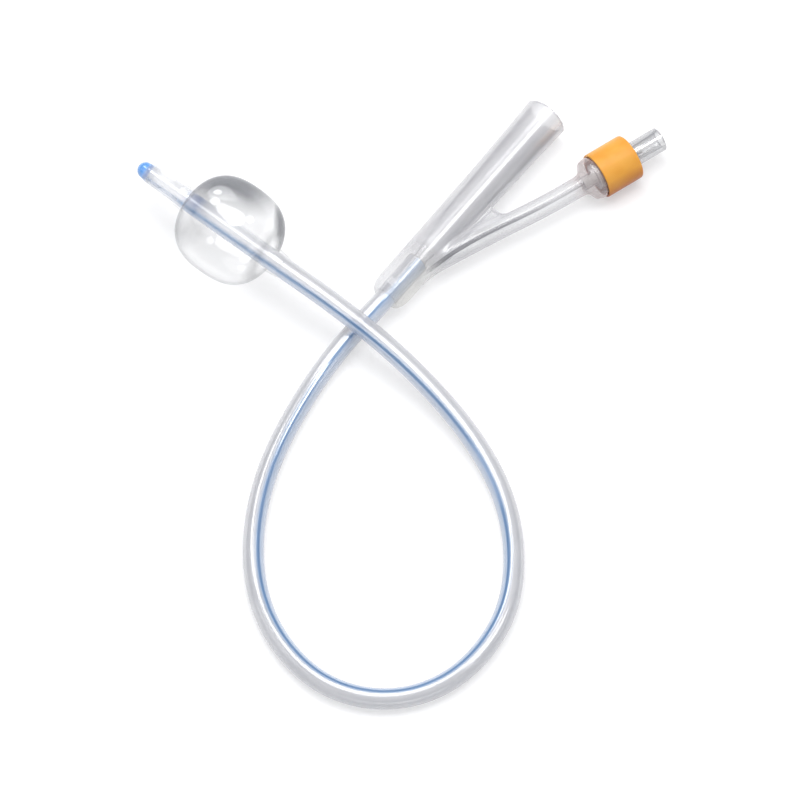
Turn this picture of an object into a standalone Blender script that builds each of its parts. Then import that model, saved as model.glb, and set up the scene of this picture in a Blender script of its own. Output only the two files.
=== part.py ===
"""Two-way silicone Foley urinary catheter, size 16 French, with its balloon filled.

It lies on a table: one crossed loop of shaft, the balloon and tip on one side of the
crossing, the drainage funnel with its inflation arm and check valve on the other.
+Z is up and z = 0 is the table. +Y runs along the drainage funnel, towards its mouth.
"""
import bmesh
import bpy
import numpy as np
from math import cos, pi, radians, sin, tau
from mathutils import Matrix, Vector

MM = 0.001

# Shaft: one extrusion with a drain bore and an inflation bore side by side
SHAFT_D = 5.33 * MM
DRAIN_BORE_D = 2.7 * MM
DRAIN_BORE_SHIFT = 0.45 * MM
INFLATION_BORE_D = 0.7 * MM
BORE_WEB = 0.5 * MM
INFLATION_HOLE_D = 0.8 * MM
ARM_PORT_DEPTH = 7.0 * MM

# Drainage eyes: two ovals punched through the wall behind the tip
EYE_WIDTH = 2.2 * MM
EYE_LENGTH = 4.6 * MM
EYE_FROM_TIP_END = (7.3 * MM, 9.4 * MM)
EYE_TURNS = (radians(-104), radians(152))

# Tip: rounded plug bonded into the end of the shaft
TIP_LENGTH = 3.8 * MM
TIP_BASE_D = 5.2 * MM
TIP_NOSE_D = 4.3 * MM
TIP_PLUG_LENGTH = 2.0 * MM
PLUG_GAP = 0.2 * MM

# Balloon: thin blown sleeve with a bonded cuff at each end
BALLOON_D = 25.4 * MM
BALLOON_LENGTH = 25.8 * MM
BALLOON_BLUNTNESS = 2.6
BALLOON_WALL = 0.4 * MM
BALLOON_FROM_TIP_END = 29.5 * MM
CUFF_WALL = 0.4 * MM
FRONT_CUFF_LENGTH = 3.4 * MM
REAR_CUFF_LENGTH = 4.2 * MM
CUFF_GAP = 0.2 * MM

# Gap that touching pieces keep, and how far a cutter runs past the face it opens
SEAT_GAP = 0.3 * MM
OVERRUN = 1.0 * MM

# Drainage funnel: outer diameters, and lengths along it from the hub's end
HUB_NOSE_D = 6.6 * MM
HUB_D = 9.8 * MM
HUB_SHOULDER = 3.5 * MM
FUNNEL_THROAT_D = 10.2 * MM
FUNNEL_THROAT_AT = 41.4 * MM
FUNNEL_FLARE_D = 10.8 * MM
FUNNEL_FLARE = 9.0 * MM
FUNNEL_MOUTH_D = 11.4 * MM
FUNNEL_LENGTH = 66.5 * MM
FUNNEL_WALL = 0.95 * MM
SHAFT_SOCKET_DEPTH = 13.0 * MM
DRAIN_PASSAGE_D = 3.6 * MM
DRAIN_PASSAGE_LENGTH = 2.0 * MM
FUNNEL_BORE_START_D = 6.6 * MM
FUNNEL_BORE_START = 28.0 * MM

# Inflation arm: route in the funnel's plane, as side and forward distances from the hub's end
ARM_D = 5.3 * MM
ARM_ROOT_D = 6.8 * MM
ARM_ROOT_LENGTH = 26.0 * MM
ARM_LUMEN_D = 1.5 * MM
ARM_ROUTE = ((1.0, 11.3), (4.6, 19.8), (9.0, 30.1), (13.3, 40.1), (17.3, 50.5))
ARM_LUMEN_ROUTE = ((1.2, 5.2), (3.6, 11.2), (5.0, 17.6), (6.8, 24.0))
VALVE_SIDE = 20.6 * MM
VALVE_FORWARD = 60.3 * MM
VALVE_TURN = radians(18.2)
WEB_THICKNESS = 2.4 * MM
WEB_END = 36.6 * MM

# Bulb and cup at the arm's end, measured along the valve's axis from the sleeve's near face
BULB_D = 11.1 * MM
BULB_BAND = 0.9 * MM
BULB_SHOULDER_D = 10.3 * MM
BULB_LENGTH = 2.2 * MM
BULB_NECK_D = 6.9 * MM
BULB_NECK = 1.0 * MM
BULB_FLARE = 2.6 * MM
BULB_INSET = 0.5 * MM
CUP_D = 10.3 * MM
CUP_FLOOR = 0.6 * MM

# Colour sleeve: cap pushed over the cup
SLEEVE_WALL = 0.55 * MM
SLEEVE_LENGTH = 10.4 * MM
SLEEVE_END_WALL = 1.0 * MM
SLEEVE_EDGE = 0.5 * MM

# Check valve: clear housing with a Luer socket, base, spring, stem and seal
HOUSING_D = 6.2 * MM
HOUSING_REACH = 8.9 * MM
HOUSING_EDGE = 0.25 * MM
LUER_MOUTH_D = 4.3 * MM
LUER_END_D = 3.85 * MM
LUER_DEPTH = 7.5 * MM
SEAT_HOLE_D = 2.3 * MM
SEAT_THICKNESS = 0.9 * MM
CHAMBER_D = 4.7 * MM
STEM_PIN_D = 1.5 * MM
STEM_PIN_ABOVE_SEAT = 1.7 * MM
STEM_HEAD_D = 3.5 * MM
STEM_HEAD_THICKNESS = 0.8 * MM
STEM_SPIGOT_D = 1.4 * MM
STEM_SPIGOT_LENGTH = 1.8 * MM
SEAL_D = 4.0 * MM
SEAL_THICKNESS = 0.6 * MM
BASE_FLANGE = 0.6 * MM
BASE_SPIGOT_D = 4.0 * MM
BASE_SPIGOT_LENGTH = 1.4 * MM
BASE_TAIL_D = 2.6 * MM
BASE_BARB_D = 3.0 * MM
BASE_BARB_LENGTH = 1.3 * MM
BASE_TIP_D = 2.1 * MM
BASE_TAIL_LENGTH = 3.6 * MM
BASE_BORE_D = 1.2 * MM
SPRING_D = 3.04 * MM
SPRING_WIRE_D = 0.34 * MM
SPRING_TURNS = 5

# Finishes: colour, roughness, transmission, metallic
FINISHES = {
    "clear_silicone": ((0.80, 0.83, 0.88), 0.35, 0.35, 0.0),
    "balloon_film": ((0.88, 0.90, 0.92), 0.08, 0.85, 0.0),
    "frosted_silicone": ((0.78, 0.79, 0.81), 0.45, 0.30, 0.0),
    "tip_blue": ((0.12, 0.38, 0.85), 0.30, 0.10, 0.0),
    "sleeve_orange": ((0.90, 0.42, 0.10), 0.40, 0.0, 0.0),
    "clear_plastic": ((0.86, 0.88, 0.90), 0.06, 0.85, 0.0),
    "valve_white": ((0.85, 0.85, 0.84), 0.40, 0.0, 0.0),
    "seal_rubber": ((0.30, 0.31, 0.33), 0.60, 0.0, 0.0),
    "spring_steel": ((0.60, 0.61, 0.62), 0.25, 0.0, 1.0),
}

# Middle line of the shaft in millimetres, from its end inside the hub to the end of the tip
ROUTE = (
    (-6.2, 22.4, 6), (-6.2, 15.9, 6), (-6.25, 9.4, 5.95), (-6.6, 2.4, 5.3), (-7, -4, 4.4),
    (-7.15, -9.6, 3.5), (-6.9, -16, 2.85), (-5.8, -24.4, 2.67), (-3.3, -36.8, 2.67), (0.55, -48.8, 2.67),
    (6.4, -60.5, 2.67), (14.1, -70.9, 2.67), (23.8, -79.3, 2.67), (35, -84.6, 2.67), (46.9, -86.3, 2.67),
    (58, -83.4, 2.67), (66.8, -76.4, 2.67), (72.2, -66, 2.67), (73.4, -53.9, 2.67), (70.8, -41.6, 2.67),
    (64.5, -30.4, 2.67), (54.2, -19.5, 2.75), (43.7, -12.6, 3.4), (31, -7.55, 4.75), (17.3, -4.4, 6.75),
    (3.7, -2.8, 9.0), (-7.3, -2.4, 10.75), (-17.4, -2.3, 12.0), (-28.9, -2.25, 12.65), (-39.9, -1.9, 12.7),
    (-51.9, -1.5, 12.7), (-63.9, -1.1, 12.7), (-76.2, -0.7, 12.7),
)

# Facets: sides of turned pieces, points along the shaft and arm, steps of arcs and coils
FINE = 36
MEDIUM = 28
SMALL = 20
TINY = 14
SHAFT_STATIONS = 66
ARM_STATIONS = 16
SPLINE_STEPS = 40
DOME_STEPS = 6
SHOULDER_STEPS = 4
BALLOON_STEPS = 20
BALLOON_INSIDE_STEPS = 14
SPRING_STEPS = 12
WELD = 0.001 * MM
UP = Vector((0, 0, 1))


# Collections and materials

def empty_scene():
    for obj in list(bpy.data.objects):
        bpy.data.objects.remove(obj, do_unlink=True)


def new_collection(name, hidden=False):
    coll = bpy.data.collections.new(name)
    bpy.context.scene.collection.children.link(coll)
    coll.hide_render = hidden
    return coll


def finish(name):
    colour, roughness, transmission, metallic = FINISHES[name]
    mat = bpy.data.materials.new(name)
    mat.use_nodes = True
    shader = mat.node_tree.nodes["Principled BSDF"]
    shader.inputs["Base Color"].default_value = (*colour, 1.0)
    shader.inputs["Roughness"].default_value = roughness
    shader.inputs["Metallic"].default_value = metallic
    shader.inputs["Transmission Weight"].default_value = transmission
    mat.diffuse_color = (*colour, 1.0)
    return mat


# Paths

def smooth_path(route, stations):
    """Even points on the smooth curve through the route's points."""
    knots = np.array(route, dtype=float) * MM
    chord = np.linalg.norm(np.diff(knots, axis=0), axis=1)
    at = np.concatenate(([0.0], np.cumsum(chord)))
    count = len(at)
    system = np.eye(count)
    bend = np.zeros_like(knots)
    for i in range(1, count - 1):
        system[i, i - 1:i + 2] = (chord[i - 1], 2 * (chord[i - 1] + chord[i]), chord[i])
        slope_after = (knots[i + 1] - knots[i]) / chord[i]
        slope_before = (knots[i] - knots[i - 1]) / chord[i - 1]
        bend[i] = 6 * (slope_after - slope_before)
    curve = np.linalg.solve(system, bend)
    fine = []
    for t in np.linspace(0, at[-1], SPLINE_STEPS * count):
        i = min(int(np.searchsorted(at, t, side="right")) - 1, count - 2)
        h = chord[i]
        a = (at[i + 1] - t) / h
        b = (t - at[i]) / h
        ease = ((a ** 3 - a) * curve[i] + (b ** 3 - b) * curve[i + 1]) * h * h / 6
        fine.append(a * knots[i] + b * knots[i + 1] + ease)
    fine = np.array(fine)
    walked = np.concatenate(([0.0], np.cumsum(np.linalg.norm(np.diff(fine, axis=0), axis=1))))
    even = np.linspace(0, walked[-1], stations)
    return [Vector(np.interp(at, walked, fine[:, k]) for k in range(3)) for at in even]


def directions(path):
    last = len(path) - 1
    return [(path[min(i + 1, last)] - path[max(i - 1, 0)]).normalized() for i in range(len(path))]


def beside(path, distance):
    """The path moved sideways, to the left of its direction."""
    return [p + UP.cross(ahead).normalized() * distance for p, ahead in zip(path, directions(path))]


def lengthened(path, extra):
    ahead = directions(path)
    return [path[0] - ahead[0] * extra] + path[1:-1] + [path[-1] + ahead[-1] * extra]


# Shapes

def tube(name, path, diameter, resolution, coll, swell=None):
    """A solid round bar along a path, as a closed mesh. swell holds a width factor for each point."""
    curve = bpy.data.curves.new(name, "CURVE")
    curve.dimensions = "3D"
    curve.bevel_depth = diameter / 2
    curve.bevel_resolution = resolution
    curve.use_fill_caps = True
    spline = curve.splines.new("POLY")
    spline.points.add(len(path) - 1)
    for point, place, factor in zip(spline.points, path, swell or [1.0] * len(path)):
        point.co = (*place, 1.0)
        point.radius = factor
    source = bpy.data.objects.new(name + "_curve", curve)
    bpy.context.scene.collection.objects.link(source)
    depsgraph = bpy.context.evaluated_depsgraph_get()
    mesh = bpy.data.meshes.new_from_object(source.evaluated_get(depsgraph))
    mesh.name = name
    weld(mesh)
    obj = bpy.data.objects.new(name, mesh)
    obj.matrix_world = source.matrix_world
    coll.objects.link(obj)
    bpy.data.objects.remove(source)
    bpy.data.curves.remove(curve)
    return obj


def weld(mesh):
    shape = bmesh.new()
    shape.from_mesh(mesh)
    bmesh.ops.remove_doubles(shape, verts=shape.verts, dist=WELD)
    bmesh.ops.recalc_face_normals(shape, faces=shape.faces)
    shape.to_mesh(mesh)
    shape.free()


def turned(name, profile, sides, coll, closed=False):
    """A turned solid about Z. The profile is (radius, height) pairs, down its outer side."""
    mesh = bpy.data.meshes.new(name)
    points = [(r, 0.0, z) for r, z in profile]
    edges = [(i, i + 1) for i in range(len(points) - 1)]
    if closed:
        edges.append((len(points) - 1, 0))
    mesh.from_pydata(points, edges, [])
    obj = bpy.data.objects.new(name, mesh)
    coll.objects.link(obj)
    spin = obj.modifiers.new("turn", "SCREW")
    spin.axis = "Z"
    spin.angle = tau
    spin.steps = sides
    spin.render_steps = sides
    spin.use_merge_vertices = True
    spin.merge_threshold = WELD
    spin.use_smooth_shade = True
    return obj


def ring(name, inner_d, outer_d, low, high, sides, coll):
    profile = ((outer_d / 2, high), (outer_d / 2, low), (inner_d / 2, low), (inner_d / 2, high))
    return turned(name, profile, sides, coll, closed=True)


def rod(name, diameter, low, high, sides, coll):
    profile = ((0, high), (diameter / 2, high), (diameter / 2, low), (0, low))
    return turned(name, profile, sides, coll)


def stand_along(obj, origin, direction):
    """Puts the object's own Z along a direction, from an origin."""
    turn = direction.to_track_quat("Z", "Y").to_matrix().to_4x4()
    obj.matrix_world = Matrix.Translation(origin) @ turn
    return obj


def boolean(obj, other, operation):
    step = obj.modifiers.new(operation.lower() + "_" + other.name, "BOOLEAN")
    step.operation = operation
    step.solver = "EXACT"
    step.object = other
    other.hide_render = True
    other.display_type = "WIRE"
    return step


def cut(obj, *cutters):
    for cutter in cutters:
        boolean(obj, cutter, "DIFFERENCE")


def join(obj, *others):
    for other in others:
        boolean(obj, other, "UNION")


def dress(obj, mat):
    obj.data.materials.clear()
    obj.data.materials.append(mat)
    return obj


# Sub-parts along the shaft

def make_shaft(path, parts, tools, mat):
    shaft = tube("shaft", path, SHAFT_D, 4, parts)
    drain_path = lengthened(beside(path, -DRAIN_BORE_SHIFT), OVERRUN)
    drain = tube("drain_bore", drain_path, DRAIN_BORE_D, 2, tools)
    inflation_path = lengthened(beside(path, inflation_bore_side()), OVERRUN)
    inflation = tube("inflation_bore", inflation_path, INFLATION_BORE_D, 1, tools)
    cut(shaft, drain, inflation)
    ahead = directions(path)[-1]
    left = UP.cross(ahead).normalized()
    up = ahead.cross(left)
    nose = path[-1] + ahead * (TIP_LENGTH + SEAT_GAP)
    for place, turn in zip(EYE_FROM_TIP_END, EYE_TURNS):
        outward = up * cos(turn) + left * sin(turn)
        cut(shaft, make_eye(nose - ahead * place, ahead, outward, tools))
    fill = nose - ahead * BALLOON_FROM_TIP_END + left * inflation_bore_side()
    hole = rod("inflation_hole", INFLATION_HOLE_D, 0, SHAFT_D / 2, TINY, tools)
    stand_along(hole, fill, left)
    backward = directions(path)[0]
    side = UP.cross(backward).normalized()
    port = rod("arm_port", INFLATION_HOLE_D, 0, SHAFT_D / 2, TINY, tools)
    port_depth = SHAFT_SOCKET_DEPTH - ARM_PORT_DEPTH
    stand_along(port, path[0] + backward * port_depth + side * inflation_bore_side(), side)
    cut(shaft, hole, port)
    return dress(shaft, mat)


def inflation_bore_side():
    return DRAIN_BORE_D / 2 - DRAIN_BORE_SHIFT + BORE_WEB + INFLATION_BORE_D / 2


def make_eye(centre, ahead, outward, tools):
    """Cutter for an oval hole through one wall of the shaft."""
    mesh = bpy.data.meshes.new("eye_cutter")
    shape = bmesh.new()
    bmesh.ops.create_cone(shape, cap_ends=True, segments=SMALL, radius1=EYE_WIDTH / 2,
                          radius2=EYE_WIDTH / 2, depth=SHAFT_D)
    bmesh.ops.scale(shape, vec=(EYE_LENGTH / EYE_WIDTH, 1, 1), verts=shape.verts)
    shape.to_mesh(mesh)
    shape.free()
    eye = bpy.data.objects.new("eye_cutter", mesh)
    tools.objects.link(eye)
    across = outward.cross(ahead).normalized()
    turn = Matrix((ahead, across, outward)).transposed().to_4x4()
    eye.matrix_world = Matrix.Translation(centre + outward * SHAFT_D / 2) @ turn
    return eye


def make_tip(end, ahead, parts, tools, mat):
    """The dome and its plug. z = 0 is the face against the shaft, up is towards the nose."""
    base = TIP_BASE_D / 2
    nose = TIP_NOSE_D / 2
    flank = TIP_LENGTH - nose
    profile = [(0.0, TIP_LENGTH)]
    for step in range(1, DOME_STEPS + 1):
        turn = pi / 2 * (1 - step / DOME_STEPS)
        profile.append((nose * cos(turn), flank + nose * sin(turn)))
    profile += [(base, 0.0), (0.0, 0.0)]
    tip = turned("tip", profile, MEDIUM, parts)
    stand_along(tip, end + ahead * SEAT_GAP, ahead)
    plug_d = DRAIN_BORE_D - 2 * PLUG_GAP
    plug = rod("tip_plug", plug_d, -TIP_PLUG_LENGTH, TIP_LENGTH / 2, TINY, tools)
    left = UP.cross(ahead).normalized()
    stand_along(plug, end + ahead * SEAT_GAP - left * DRAIN_BORE_SHIFT, ahead)
    join(tip, plug)
    return dress(tip, mat)


def balloon_curve(radius, half_length, neck, steps):
    """Points on the blunt oval from the front neck to the rear neck."""
    points = []
    power = 2 / BALLOON_BLUNTNESS
    for step in range(steps + 1):
        turn = pi * step / steps
        along = half_length * abs(cos(turn)) ** power * (1 if cos(turn) >= 0 else -1)
        out = radius * sin(turn) ** power
        points.append((max(out, neck), along))
    return points


def make_balloon(centre, ahead, parts, mat):
    bore = SHAFT_D / 2 + CUFF_GAP
    neck = bore + CUFF_WALL
    half = BALLOON_LENGTH / 2
    front = half + FRONT_CUFF_LENGTH
    rear = -half - REAR_CUFF_LENGTH
    outer = balloon_curve(BALLOON_D / 2, half, neck, BALLOON_STEPS)
    inside = BALLOON_D / 2 - BALLOON_WALL
    inner = balloon_curve(inside, half - BALLOON_WALL, bore, BALLOON_INSIDE_STEPS)
    profile = [(neck, front)] + outer + [(neck, rear), (bore, rear)] + inner[::-1] + [(bore, front)]
    balloon = turned("balloon", profile, FINE, parts, closed=True)
    stand_along(balloon, centre, ahead)
    return dress(balloon, mat)


# Y-shaped end moulding

def funnel_outline():
    """(radius, height) pairs down the outside of the drainage funnel, mouth first."""
    outline = [
        (FUNNEL_MOUTH_D / 2, FUNNEL_LENGTH), (FUNNEL_FLARE_D / 2, FUNNEL_LENGTH - FUNNEL_FLARE),
        (FUNNEL_THROAT_D / 2, FUNNEL_THROAT_AT),
    ]
    nose = HUB_NOSE_D / 2
    for step in range(SHOULDER_STEPS + 1):
        turn = pi / 2 * (1 - step / SHOULDER_STEPS)
        outline.append((nose + (HUB_D / 2 - nose) * sin(turn), HUB_SHOULDER * (1 - cos(turn))))
    return outline


def funnel_bore():
    """Cutter outline: drainage bore, drain passage and shaft socket."""
    mouth = FUNNEL_MOUTH_D / 2 - FUNNEL_WALL
    flare = FUNNEL_FLARE_D / 2 - FUNNEL_WALL
    socket = SHAFT_D / 2 + CUFF_GAP
    socket_end = SHAFT_SOCKET_DEPTH + SEAT_GAP
    slope = (mouth - flare) / FUNNEL_FLARE
    return [
        (0.0, FUNNEL_LENGTH + OVERRUN), (mouth + slope * OVERRUN, FUNNEL_LENGTH + OVERRUN),
        (flare, FUNNEL_LENGTH - FUNNEL_FLARE), (FUNNEL_BORE_START_D / 2, FUNNEL_BORE_START),
        (DRAIN_PASSAGE_D / 2, socket_end + DRAIN_PASSAGE_LENGTH), (DRAIN_PASSAGE_D / 2, socket_end),
        (socket, socket_end), (socket, -OVERRUN), (0.0, -OVERRUN),
    ]


def in_plane(hub, side, forward):
    """A point in the moulding's own flat plane, from side and forward distances."""
    return hub + Vector((side, forward, 0))


def valve_axis():
    return Vector((sin(VALVE_TURN), cos(VALVE_TURN), 0))


def sleeve_face(hub):
    return in_plane(hub, VALVE_SIDE, VALVE_FORWARD)


def arm_path(hub, route, end):
    """Even points along the arm, in metres, finishing straight along the valve's axis."""
    face = sleeve_face(hub)
    flat = [in_plane(hub, side * MM, forward * MM) for side, forward in route]
    flat.append(face + valve_axis() * end)
    return smooth_path([p / MM for p in flat], ARM_STATIONS)


def root_swell(axis):
    """Width factors that taper the arm from its thick root to its own diameter."""
    extra = ARM_ROOT_D / ARM_D - 1
    return [1 + extra * max(0.0, 1 - (p - axis[0]).length / ARM_ROOT_LENGTH) for p in axis]


def make_web(hub, tools):
    """Flat plate that closes the fork between funnel and arm."""
    curve = bpy.data.curves.new("fork_web", "CURVE")
    curve.dimensions = "2D"
    curve.fill_mode = "BOTH"
    curve.extrude = WEB_THICKNESS / 2
    start = ARM_ROUTE[0]
    reach = ARM_ROUTE[3]
    far = reach[0] * MM * WEB_END / (reach[1] * MM)
    corners = [(0.0, start[1] * MM), (0.0, WEB_END), (far, WEB_END), (start[0] * MM, start[1] * MM)]
    spline = curve.splines.new("POLY")
    spline.points.add(len(corners) - 1)
    for point, (side, forward) in zip(spline.points, corners):
        point.co = (hub.x + side, hub.y + forward, 0.0, 1.0)
    spline.use_cyclic_u = True
    source = bpy.data.objects.new("fork_web_curve", curve)
    bpy.context.scene.collection.objects.link(source)
    source.location.z = hub.z
    bpy.context.view_layer.update()
    depsgraph = bpy.context.evaluated_depsgraph_get()
    mesh = bpy.data.meshes.new_from_object(source.evaluated_get(depsgraph))
    weld(mesh)
    web = bpy.data.objects.new("fork_web", mesh)
    web.matrix_world = source.matrix_world
    tools.objects.link(web)
    bpy.data.objects.remove(source)
    return web


def make_arm_end(hub, tools):
    """Bulb and cup about the valve's axis."""
    face = sleeve_face(hub)
    cup_top = SLEEVE_LENGTH - SLEEVE_END_WALL - SEAT_GAP
    bulb_top = -SEAT_GAP
    bulb_low = bulb_top - BULB_LENGTH
    profile = (
        (0.0, cup_top), (CUP_D / 2, cup_top), (CUP_D / 2, bulb_top), (BULB_D / 2, bulb_top),
        (BULB_D / 2, bulb_top - BULB_BAND), (BULB_SHOULDER_D / 2, bulb_low),
        (BULB_NECK_D / 2, bulb_low - BULB_NECK), (ARM_D / 2 - BULB_INSET, bulb_low - BULB_FLARE),
        (0.0, bulb_low - BULB_FLARE),
    )
    end = turned("arm_end", profile, MEDIUM, tools)
    return stand_along(end, face, valve_axis())


def valve_pocket():
    """Cutter outline: cup bore for the housing, then the socket for the base's tail."""
    bore = HOUSING_D / 2 + SEAT_GAP
    socket = BASE_BARB_D / 2 + SEAT_GAP
    return (
        (0.0, SLEEVE_LENGTH + OVERRUN), (bore, SLEEVE_LENGTH + OVERRUN), (bore, -CUP_FLOOR),
        (socket, -CUP_FLOOR), (socket, tail_end() - SEAT_GAP), (0.0, tail_end() - SEAT_GAP),
    )


def make_moulding(hub, parts, tools, mat):
    body = turned("y_moulding", [(0.0, FUNNEL_LENGTH)] + funnel_outline() + [(0.0, 0.0)], MEDIUM, parts)
    forward = Vector((0, 1, 0))
    stand_along(body, hub, forward)
    axis = arm_path(hub, ARM_ROUTE, -BULB_FLARE)
    arm = tube("arm_body", axis, ARM_D, 4, tools, root_swell(axis))
    join(body, arm, make_web(hub, tools), make_arm_end(hub, tools))
    bore = turned("funnel_bore", funnel_bore(), MEDIUM, tools)
    stand_along(bore, hub, forward)
    lumen_route = ARM_LUMEN_ROUTE + ARM_ROUTE[2:]
    lumen = tube("arm_lumen", arm_path(hub, lumen_route, tail_end()), ARM_LUMEN_D, 2, tools)
    pocket = turned("valve_pocket", valve_pocket(), MEDIUM, tools)
    stand_along(pocket, sleeve_face(hub), valve_axis())
    cut(body, bore, lumen, pocket)
    return dress(body, mat)


# Valve pieces, each turned about the valve's axis with z = 0 at the sleeve's near face

def housing_mouth():
    return SLEEVE_LENGTH + HOUSING_REACH


def seat_top():
    return housing_mouth() - LUER_DEPTH


def seat_under():
    return seat_top() - SEAT_THICKNESS


def flange_low():
    return SEAT_GAP - CUP_FLOOR


def flange_top():
    return flange_low() + BASE_FLANGE


def tail_end():
    return flange_low() - BASE_TAIL_LENGTH


def spring_floor():
    return flange_top() + BASE_SPIGOT_LENGTH


def seal_top():
    return seat_under() - SEAT_GAP


def head_top():
    return seal_top() - SEAL_THICKNESS - SEAT_GAP


def head_under():
    return head_top() - STEM_HEAD_THICKNESS


def make_sleeve(parts, mat):
    bore = CUP_D / 2 + SEAT_GAP
    hole = HOUSING_D / 2 + SEAT_GAP
    outer = bore + SLEEVE_WALL
    wall_low = SLEEVE_LENGTH - SLEEVE_END_WALL
    profile = (
        (hole, SLEEVE_LENGTH), (outer - SLEEVE_EDGE, SLEEVE_LENGTH), (outer, SLEEVE_LENGTH - SLEEVE_EDGE),
        (outer, SLEEVE_EDGE / 2), (outer - SLEEVE_EDGE / 2, 0.0), (bore, 0.0), (bore, wall_low),
        (hole, wall_low),
    )
    return dress(turned("colour_sleeve", profile, FINE, parts, closed=True), mat)


def make_housing(parts, mat):
    outer = HOUSING_D / 2
    mouth = housing_mouth()
    low = flange_top() + SEAT_GAP
    profile = (
        (LUER_MOUTH_D / 2, mouth), (outer - HOUSING_EDGE, mouth), (outer, mouth - HOUSING_EDGE),
        (outer, low), (CHAMBER_D / 2, low), (CHAMBER_D / 2, seat_under()),
        (SEAT_HOLE_D / 2, seat_under()), (SEAT_HOLE_D / 2, seat_top()), (LUER_END_D / 2, seat_top()),
    )
    return dress(turned("valve_housing", profile, MEDIUM, parts, closed=True), mat)


def make_base(parts, mat):
    flange = HOUSING_D / 2
    spigot = BASE_SPIGOT_D / 2
    tail = BASE_TAIL_D / 2
    bore = BASE_BORE_D / 2
    barb_at = tail_end() + BASE_BARB_LENGTH
    profile = (
        (bore, spring_floor()), (spigot, spring_floor()), (spigot, flange_top()), (flange, flange_top()),
        (flange, flange_low()), (tail, flange_low()), (tail, barb_at), (BASE_BARB_D / 2, barb_at),
        (BASE_TIP_D / 2, tail_end()), (bore, tail_end()),
    )
    return dress(turned("valve_base", profile, SMALL, parts, closed=True), mat)


def make_stem(parts, mat):
    pin = STEM_PIN_D / 2
    head = STEM_HEAD_D / 2
    spigot = STEM_SPIGOT_D / 2
    pin_top = seat_top() + STEM_PIN_ABOVE_SEAT
    foot = head_under() - STEM_SPIGOT_LENGTH
    profile = (
        (0.0, pin_top), (pin, pin_top), (pin, head_top()), (head, head_top()), (head, head_under()),
        (spigot, head_under()), (spigot, foot), (0.0, foot),
    )
    return dress(turned("valve_stem", profile, SMALL, parts), mat)


def make_seal(parts, mat):
    inner = STEM_PIN_D + 2 * SEAT_GAP
    seal = ring("stem_seal", inner, SEAL_D, seal_top() - SEAL_THICKNESS, seal_top(), SMALL, parts)
    return dress(seal, mat)


def make_spring(origin, direction, parts, mat):
    wire = SPRING_WIRE_D / 2
    radius = SPRING_D / 2 - wire
    low = spring_floor() + SEAT_GAP + wire
    high = head_under() - SEAT_GAP - wire
    turn = direction.to_track_quat("Z", "Y").to_matrix()
    steps = SPRING_TURNS * SPRING_STEPS
    path = []
    for step in range(steps + 1):
        angle = tau * step / SPRING_STEPS
        height = low + (high - low) * step / steps
        path.append(origin + turn @ Vector((radius * cos(angle), radius * sin(angle), height)))
    return dress(tube("valve_spring", path, SPRING_WIRE_D, 2, parts), mat)


def build():
    empty_scene()
    parts = new_collection("foley_catheter")
    tools = new_collection("cutters", hidden=True)
    white = finish("valve_white")

    nose = Vector(ROUTE[-1]) * MM
    ahead = (nose - Vector(ROUTE[-2]) * MM).normalized()
    shaft_end = nose - ahead * (TIP_LENGTH + SEAT_GAP)
    route = list(ROUTE[:-1]) + [tuple(shaft_end / MM)]
    path = smooth_path(route, SHAFT_STATIONS)
    path = [Vector((p.x, p.y, max(p.z, SHAFT_D / 2))) for p in path]

    make_shaft(path, parts, tools, finish("clear_silicone"))
    make_tip(shaft_end, ahead, parts, tools, finish("tip_blue"))
    make_balloon(nose - ahead * BALLOON_FROM_TIP_END, ahead, parts, finish("balloon_film"))

    hub = path[0] - Vector((0, SHAFT_SOCKET_DEPTH, 0))
    make_moulding(hub, parts, tools, finish("frosted_silicone"))
    face = sleeve_face(hub)
    axis = valve_axis()
    stand_along(make_sleeve(parts, finish("sleeve_orange")), face, axis)
    stand_along(make_housing(parts, finish("clear_plastic")), face, axis)
    stand_along(make_base(parts, white), face, axis)
    stand_along(make_stem(parts, white), face, axis)
    stand_along(make_seal(parts, finish("seal_rubber")), face, axis)
    make_spring(face, axis, parts, finish("spring_steel"))


build()
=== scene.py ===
import bpy
import bmesh
import numpy as np
from math import cos, pi, radians, sin, tau
from mathutils import Matrix, Vector


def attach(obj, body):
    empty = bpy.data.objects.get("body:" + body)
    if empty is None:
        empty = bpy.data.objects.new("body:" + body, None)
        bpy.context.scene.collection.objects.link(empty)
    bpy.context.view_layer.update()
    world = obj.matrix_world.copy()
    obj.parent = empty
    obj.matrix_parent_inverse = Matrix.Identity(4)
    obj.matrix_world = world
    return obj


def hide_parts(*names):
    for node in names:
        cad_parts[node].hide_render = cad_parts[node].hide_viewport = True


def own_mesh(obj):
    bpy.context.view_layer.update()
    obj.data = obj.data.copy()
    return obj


# Two-way silicone urinary catheter, balloon filled, lying in one crossed loop on a pale table.
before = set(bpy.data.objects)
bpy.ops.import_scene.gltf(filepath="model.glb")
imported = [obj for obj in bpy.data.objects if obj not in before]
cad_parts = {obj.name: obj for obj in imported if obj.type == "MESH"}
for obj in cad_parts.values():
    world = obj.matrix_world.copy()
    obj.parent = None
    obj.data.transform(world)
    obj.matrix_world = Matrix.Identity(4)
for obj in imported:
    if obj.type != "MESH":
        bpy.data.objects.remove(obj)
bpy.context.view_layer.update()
mm = 0.001
up = Vector((0, 0, 1))


# Makers of objects and nodes

def addPiece(name, mesh, *mats):
    piece = bpy.data.objects.new(name, mesh)
    bpy.context.scene.collection.objects.link(piece)
    for mat in mats:
        mesh.materials.append(mat)
    return piece


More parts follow.
